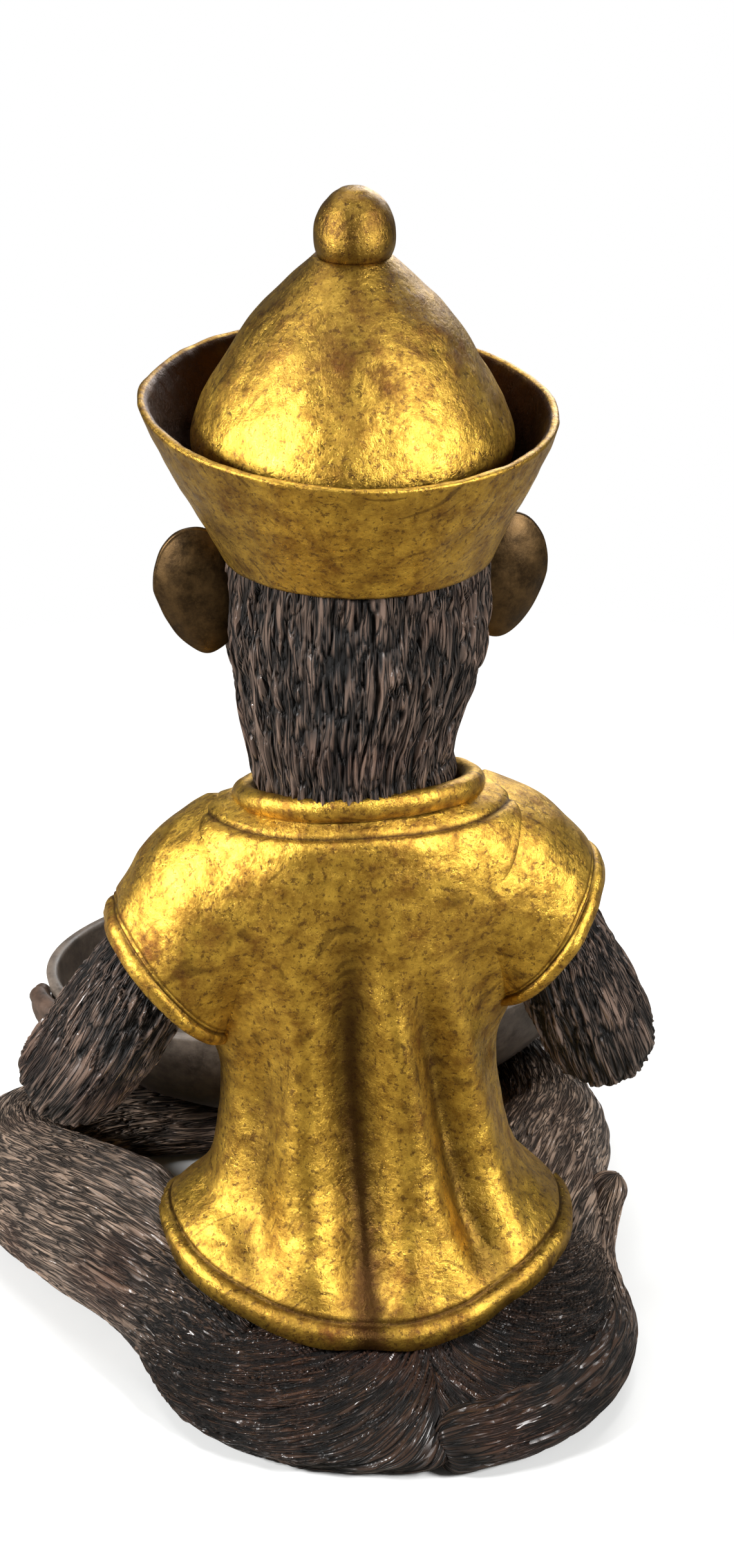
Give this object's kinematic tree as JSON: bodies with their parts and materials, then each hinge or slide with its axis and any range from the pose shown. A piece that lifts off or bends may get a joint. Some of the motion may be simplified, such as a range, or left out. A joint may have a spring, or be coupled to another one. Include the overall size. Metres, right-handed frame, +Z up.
{
  "type": "monkey figurine",
  "caption": "Seated monkey ornament in a flared-brim hat and short-sleeved jacket, with a loose shallow oval bowl resting on its crossed legs.",
  "frame": {"origin": "on the table, at the underside of the seat's felt pad, under the neck axis", "axes": "+Z up, the face looks along -Y, the monkey's left hand is towards +X"},
  "size_m": [0.2371, 0.263, 0.3795],
  "materials": {
    "fur": "cast resin fur, dark brown with a dry-brushed pale top",
    "core": "bare cast resin",
    "skin": "smooth painted resin",
    "gilt": "metal leaf over resin with brown patina",
    "bowl": "smooth dark resin with a rubbed bright rim",
    "eye": "polished",
    "felt": "glued felt",
    "pin": "drawn rod"
  },
  "bodies": {
    "figure": {"hat_knob": "gilt", "hat_crown": "gilt", "hat_brim": "gilt", "head": "fur", "eyes": "eye", "left_ear": "skin", "right_ear": "skin", "trunk": "core", "jacket": "gilt", "collar": "gilt", "left_sleeve": "gilt", "right_sleeve": "gilt", "left_arm": "fur", "right_arm": "fur", "left_hand": "skin", "right_hand": "skin", "seat": "fur", "left_leg": "fur", "right_leg": "fur", "left_foot": "skin", "right_foot": "skin", "tail": "fur", "felt_pads": "felt", "neck_dowel": "core", "knob_pin": "pin", "ear_pins": "pin", "shoulder_pins": "pin", "wrist_pins": "pin", "hip_pins": "pin", "tail_pin": "pin"},
    "bowl": {"bowl": "bowl"}
  },
  "joints": [
    {"name": "bowl_lift", "type": "slide", "parent": "figure", "child": "bowl", "axis": [0, 0, 1], "range_m": [0, 0.12]}
  ]
}
